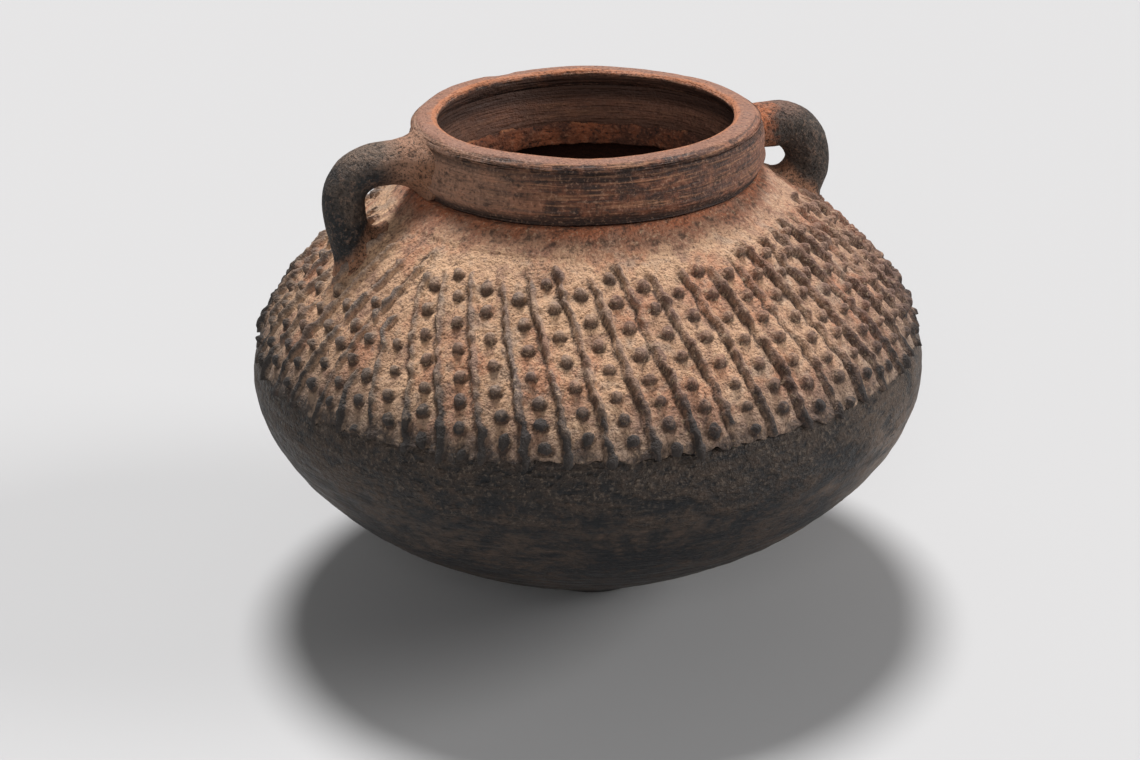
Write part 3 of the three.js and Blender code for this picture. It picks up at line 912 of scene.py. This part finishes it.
# Smear over the neck joint
# Soft red-brown clay smeared over the joint of neck and shoulder from inside, which holds the
# neck on. It dried in a ragged torn line that shows below the inside of the lip.
lute_low, lute_high = 134.4 * mm, 142.3 * mm
lute_bulge, lute_points = 1.5 * mm, 21
lute_gap = 0.1 * mm
lute_back = 1.6 * mm
lute_stretch = np.array([1, 1, 0.4])
lute_tears, lute_grit = (4 * mm, 0.5 * mm, 1.1), (1.3 * mm, 0.3 * mm, 2.1)
torn_lumps = (14 * mm, 1.1 * mm, 3.3), (3 * mm, 0.8 * mm, 6.3)
torn_level = np.array([1, 1, 0])
torn_drop, torn_reach = 0.5 * mm, 4 * mm
lute_middle, lute_half = (lute_low + lute_high) / 2, (lute_high - lute_low) / 2
lute_outline = [
    spot(
        neck_bore_radius + lute_gap - lute_bulge * math.cos(turn) ** 0.5,
        lute_middle + lute_half * math.sin(turn),
    )
    for turn in np.linspace(-math.pi / 2, math.pi / 2, lute_points)
]
lute = piece(
    "neck_joint_smear",
    turned(lute_outline + [spot(neck_bore_radius + lute_back, neck_base_height)], lip_columns),
    "inner_clay",
    inner_material,
    "neck_lute",
)
places = places_of(lute)
push(lute, unevenness(places * lute_stretch, lute_tears) + unevenness(places, lute_grit))
places = places_of(lute)
ragged = unevenness(places * torn_level, *torn_lumps) - torn_drop
places[:, 2] += ragged * step(lute_high - torn_reach, lute_high, places[:, 2])
put(lute, places + neck_shift)


# Handles
# Each is a round coil of clay bent from the neck down to the shoulder. The clay round its two
# ends was smeared out over the pot, so that it flares there. Both were smoked black outside.
coil_sides = 48
coil_swell, coil_thinning, thinning_power = 0.3 * mm, 0.10, 3
coil_tuck = 4 * mm
lead_points, bend_points, fall_points = 10, 14, 16
level_bend_points = 4
fall_lean, fall_tuck, fall_sink = 0.4 * mm, 1 * mm, 3.5 * mm
coil_lumps = (10 * mm, 0.35 * mm, 2.9), (3.4 * mm, 0.15 * mm, 7.1), (1.5 * mm, 0.07 * mm, 4.4)
smear_rows = 18
smear_sink, smear_end_sink, smear_end = 0.15 * mm, 0.8 * mm, 1 * mm
root_sink, root_tuck = 0.9 * mm, 2.5 * mm
foot_thinning, foot_shift, foot_tuck = 0.94, 0.5 * mm, 3 * mm
slope_rounds = 3
foot_line, foot_line_fade = 220 * mm, 4 * mm
top_fade = 10 * mm
handles = [
    {
        "node": "handle_left",
        "side": -1,
        "coil_radius": 6.5 * mm,
        "reach": 23.1 * mm,
        "rise": 11 * mm,
        "sag": 11 * mm,
        "foot_inset": 1.8 * mm,
        "root_flares": {"up": 1.3 * mm, "down": 6 * mm, "aside": 9 * mm},
        "root_length": 11 * mm,
        "foot_flares": {"in": 6.5 * mm, "out": 1.2 * mm, "aside": 3.5 * mm},
        "foot_length": 9 * mm,
        "fresh": (0.360, 0.195, 0.125),
        "fresh_reach": 67 * mm,
        "fresh_fade": 10 * mm,
        "top_colour": (0.20, 0.140, 0.105),
        "top_reach": 86 * mm,
        "smoke": (0.023, 0.025, 0.027),
    },
    {
        "node": "handle_right",
        "side": 1,
        "coil_radius": 7 * mm,
        "reach": 23.3 * mm,
        "rise": 7.2 * mm,
        "sag": 14 * mm,
        "foot_inset": 2.4 * mm,
        "root_flares": {"up": 0.8 * mm, "down": 1.5 * mm, "aside": 2.5 * mm},
        "root_length": 6 * mm,
        "foot_flares": {"in": 10.5 * mm, "out": 1.2 * mm, "aside": 4 * mm},
        "foot_length": 12 * mm,
        "fresh": (0.42, 0.140, 0.060),
        "fresh_reach": 64.5 * mm,
        "fresh_fade": 4 * mm,
        "top_colour": (0.250, 0.135, 0.098),
        "top_reach": 80 * mm,
        "smoke": (0.058, 0.046, 0.039),
    },
]


def smoked_clay(handle):
    """Dark clay that turns to its own fresh colour near the neck and on the foot's inner side."""
    material, tree, shader, place, side, height = new_clay("smoked_clay_" + handle["node"])
    grey, foot_red, black = (0.085, 0.066, 0.054), (0.310, 0.150, 0.085), (0.016, 0.011, 0.009)
    rust, dust = (0.330, 0.200, 0.140), (0.280, 0.190, 0.140)
    pore, dark_grain = (0.008, 0.006, 0.005), (0.008, 0.007, 0.006)
    patches = cloud(tree, place, 9 * mm)
    mottle = cloud(tree, place, 2.6 * mm, detail=4, rough=0.7)
    grit = cloud(tree, place, 1.0 * mm, rough=0.65)
    grain = cloud(tree, place, 0.7 * mm, detail=1, rough=0.5)
    radius = times(tree, side, handle["side"])
    outward = swayed(tree, radius, patches, 16 * mm)
    upward = swayed(tree, height, patches, 4.8 * mm)
    foot_side = drifted(tree, swayed(tree, height, patches, 11.2 * mm), radius, 1.2)
    reach, top_reach = handle["fresh_reach"], handle["top_reach"]
    by_neck = span(tree, outward, top_reach, top_reach - top_fade, 0, 0.75)
    high = span(tree, height, 136 * mm, 143 * mm)
    colour = cover(
        tree,
        handle["smoke"],
        (patches, 0.48, 0.66, 1, grey),
        (upward, 149 * mm, 155 * mm, by_neck, handle["top_colour"]),
        (outward, reach, reach - handle["fresh_fade"], high, handle["fresh"]),
        (foot_side, foot_line, foot_line - foot_line_fade, 1, foot_red),
        (mottle, 0.47, 0.36, 0.65, black),
        (mottle, 0.55, 0.68, 0.4, rust),
        (grit, 0.56, 0.70, 0.5, dust),
        (grit, 0.46, 0.35, 0.85, pore),
        (grain, 0.43, 0.32, 0.5, dark_grain),
    )
    roughness = span(tree, grit, 0.3, 0.7, 0.62, 0.92)
    relief = plus(tree, mottle, times(tree, grit, 0.6), times(tree, grain, 0.3))
    finish_clay(tree, shader, colour, roughness, relief, 1.4 * mm, specular=0.3)
    return material


def tube(centres, radii):
    """A closed round body along centres that lie over the X axis."""
    shape = bmesh.new()
    last = len(centres) - 1
    rings = []
    for i, centre in enumerate(centres):
        along = (centres[min(i + 1, last)] - centres[max(i - 1, 0)]).normalized()
        across = Vector((-along.z, 0, along.x))
        facing = Matrix((Vector((0, 1, 0)), across, along)).transposed().to_4x4()
        made = bmesh.ops.create_circle(
            shape,
            cap_ends=i in (0, last),
            radius=float(radii[i]),
            segments=coil_sides,
            matrix=Matrix.Translation(centre) @ facing,
        )
        rings.append(list({edge for vert in made["verts"] for edge in vert.link_edges}))
    for below, above in zip(rings, rings[1:]):
        bmesh.ops.bridge_loops(shape, edges=below + above)
    bmesh.ops.recalc_face_normals(shape, faces=shape.faces)
    return shape


def lumpy(made):
    push(made, unevenness(places_of(made), *coil_lumps))


def shoulder_height(radius):
    return np.interp(-radius, [-r for r in curve_radii], curve_heights)


# The smeared clay is widest where it leaves the pot and thins out in a quarter round.
quarter = np.linspace(math.pi / 2, 0, smear_rows)
spread = np.concatenate([[1], 1 - np.cos(quarter), [0]])


def smear_steps(tuck, length):
    return np.concatenate([[-tuck], length * (1 - np.sin(quarter)), [length + smear_end]])


def smear_radii(radius):
    radii = np.full(len(spread), radius - smear_sink)
    radii[-1] -= smear_end_sink
    return radii


for handle in handles:
    node, side = handle["node"], handle["side"]
    coil_radius = handle["coil_radius"] + coil_swell
    clay = smoked_clay(handle)
    top = neck_base_height + handle["rise"]
    bend_start = neck_base_radius + handle["reach"] / 2
    outermost = neck_base_radius + handle["reach"]
    foot_radius = outermost - handle["foot_inset"]
    foot_height = float(shoulder_height(foot_radius))

    def over(radius, height):
        return Vector((side * float(radius), 0, float(height)))

    lead_radii = np.linspace(neck_base_radius - coil_tuck, bend_start, lead_points)
    lead = [over(radius, top) for radius in lead_radii]
    bend = [
        over(
            bend_start + (outermost - bend_start) * math.sin(turn),
            top - handle["sag"] * (1 - math.cos(turn)),
        )
        for turn in np.linspace(0, math.pi / 2, bend_points)
    ]
    bend_end = top - handle["sag"]
    drop = (bend_end - foot_height) / 2
    fall = interpolate_bezier(
        over(outermost, bend_end),
        over(outermost, bend_end - drop),
        over(foot_radius + fall_lean, foot_height + drop),
        over(foot_radius - fall_tuck, foot_height - fall_sink),
        fall_points,
    )
    centres = lead + bend[1:] + fall[1:]
    climb = (bend[level_bend_points:] + fall[1:])[::-1]
    coil_heights = [centre.z for centre in climb]
    coil_places = [side * centre.x for centre in climb]
    taper = np.linspace(0, 1, len(centres)) ** thinning_power
    coil = piece(
        node.replace("handle", "coil"),
        tube(centres, coil_radius * (1 - coil_thinning * taper)),
        "handle_clay",
        clay,
        node,
    )
    lumpy(coil)

    # The smeared clay at the neck follows its round wall and thins out on the coil.
    flares = handle["root_flares"]
    wall_radius = neck_base_radius + neck_bulge + side * neck_shift[0] - root_sink
    distances = smear_steps(root_tuck, handle["root_length"])
    root = piece(
        node.replace("handle", "root"),
        tube([over(wall_radius + out, top) for out in distances], smear_radii(coil_radius)),
        "red_brown_clay",
        clay,
        node + "_root",
    )
    places = places_of(root)
    size = np.hypot(places[:, 1], places[:, 2] - top)
    across, up = places[:, 1] / size, (places[:, 2] - top) / size
    weight = np.interp(side * places[:, 0] - wall_radius, distances, spread)
    places[:, 1] += across * flares["aside"] * weight
    places[:, 2] += up * np.where(up > 0, flares["up"], flares["down"]) * weight
    hollow = wall_radius - np.sqrt(wall_radius**2 - places[:, 1] ** 2)
    places[:, 0] -= side * hollow * weight
    put(root, places)
    lumpy(root)

    # The smeared clay on the shoulder lies along its slope, most of it towards the neck.
    flares = handle["foot_flares"]
    rises = smear_steps(foot_tuck, handle["foot_length"])
    foot_middle = foot_radius - foot_shift
    foot = piece(
        node.replace("handle", "foot"),
        tube(
            [over(foot_middle, foot_height + rise) for rise in rises],
            smear_radii(coil_radius * foot_thinning),
        ),
        "tan_clay",
        clay,
        node + "_foot",
    )
    places = places_of(foot)
    inward = foot_middle - side * places[:, 0]
    size = np.hypot(inward, places[:, 1])
    towards, across = inward / size, places[:, 1] / size
    rise = places[:, 2] - foot_height
    weight = np.interp(rise, rises, spread)
    flare = np.where(towards > 0, flares["in"], flares["out"])
    flared = side * places[:, 0] - towards * flare * weight
    places[:, 1] += across * flares["aside"] * weight
    for _ in range(slope_rounds):
        places[:, 2] = rise + shoulder_height(np.hypot(places[:, 0], places[:, 1]))
        lean = np.interp(places[:, 2], coil_heights, coil_places) - foot_middle
        places[:, 0] = side * (flared + lean)
    put(foot, places)
    lumpy(foot)


# Floor, light and camera
# A plain pale floor and backdrop that aren't part of the pot, soft light from above and from the
# front on both sides, and a camera at the photograph's angle.
floor_reach, floor_drop = 6, 0.1 * mm
floor_colour, seen_colour = (0.45, 0.44, 0.435), (0.445, 0.441, 0.443)
floor_roughness = 0.9
backdrop_light, backdrop_seen = 0.17, 0.82
lamps = [
    {"name": "key_light", "from": (0.10, 0.38, 1.11), "strength": 4.2, "degrees_wide": 16},
    {"name": "right_light", "from": (1.35, -0.55, 0.66), "strength": 1.9, "degrees_wide": 28},
    {"name": "front_light", "from": (-0.70, -1.40, 0.81), "strength": 0.7, "degrees_wide": 26},
]

floor_shape = bmesh.new()
bmesh.ops.create_grid(floor_shape, x_segments=1, y_segments=1, size=floor_reach)
bmesh.ops.translate(floor_shape, verts=floor_shape.verts, vec=(0, 0, -floor_drop))
floor_material = bpy.data.materials.new("pale_floor")
floor_material.use_nodes = True
tree = floor_material.node_tree
floor_shader = tree.nodes["Principled BSDF"]
seen = add(tree, "LightPath").outputs["Is Camera Ray"]
tree.links.new(blend(tree, seen, floor_colour, seen_colour), floor_shader.inputs["Base Color"])
floor_shader.inputs["Roughness"].default_value = floor_roughness
floor_shader.inputs["Specular IOR Level"].default_value = 0
meshed("floor", floor_shape, floor_material)

world = bpy.data.worlds.new("pale_backdrop")
bpy.context.scene.world = world
world.use_nodes = True
tree = world.node_tree
backdrop = tree.nodes["Background"]
seen = add(tree, "LightPath").outputs["Is Camera Ray"]
backdrop.inputs["Color"].default_value = (1, 1, 1, 1)
strength = span(tree, seen, 0, 1, backdrop_light, backdrop_seen)
tree.links.new(strength, backdrop.inputs["Strength"])

for lamp in lamps:
    sun = bpy.data.lights.new(lamp["name"], "SUN")
    sun.energy = lamp["strength"]
    sun.angle = math.radians(lamp["degrees_wide"])
    towards = Vector(lamp["from"]).to_track_quat("Z", "Y")
    placed(lamp["name"], sun).rotation_euler = towards.to_euler()

# The photograph was taken from a little left of square to the handles, looking down on the pot.
focal_pixels = 2131
image_width, image_height = 1140, 760
belly_pixel = (587.6, 348.2)
camera_elevation = math.radians(22.74)
camera_roll = math.radians(-1.38)
camera_distance = 6.423 * belly_radius
camera_turn = math.radians(-20)
sensor_width = 36
clip_start = 10 * mm

back = Vector((0, -math.cos(camera_elevation), math.sin(camera_elevation)))
back.rotate(Matrix.Rotation(camera_turn, 3, "Z"))
forward = -back
right = forward.cross(Vector((0, 0, 1))).normalized()
down = forward.cross(right)
ray = Vector(
    (
        (belly_pixel[0] - image_width / 2) / focal_pixels,
        (belly_pixel[1] - image_height / 2) / focal_pixels,
        1,
    )
).normalized()
swing = Vector((0, 0, 1)).rotation_difference(ray).to_matrix()
roll = Matrix.Rotation(camera_roll, 3, "Z")
axes = swing @ roll @ Matrix((right, down, forward))
camera_data = bpy.data.cameras.new("camera")
camera_data.sensor_width = sensor_width
camera_data.lens = focal_pixels * sensor_width / image_width
camera_data.clip_start = clip_start
camera = placed("camera", camera_data)
turned_axes = Matrix((axes[0], -axes[1], -axes[2])).transposed().to_4x4()
centre = Vector((0, 0, belly_height))
camera.matrix_world = Matrix.Translation(centre + back * camera_distance) @ turned_axes
bpy.context.scene.camera = camera
bpy.context.scene.view_settings.view_transform = "Standard"
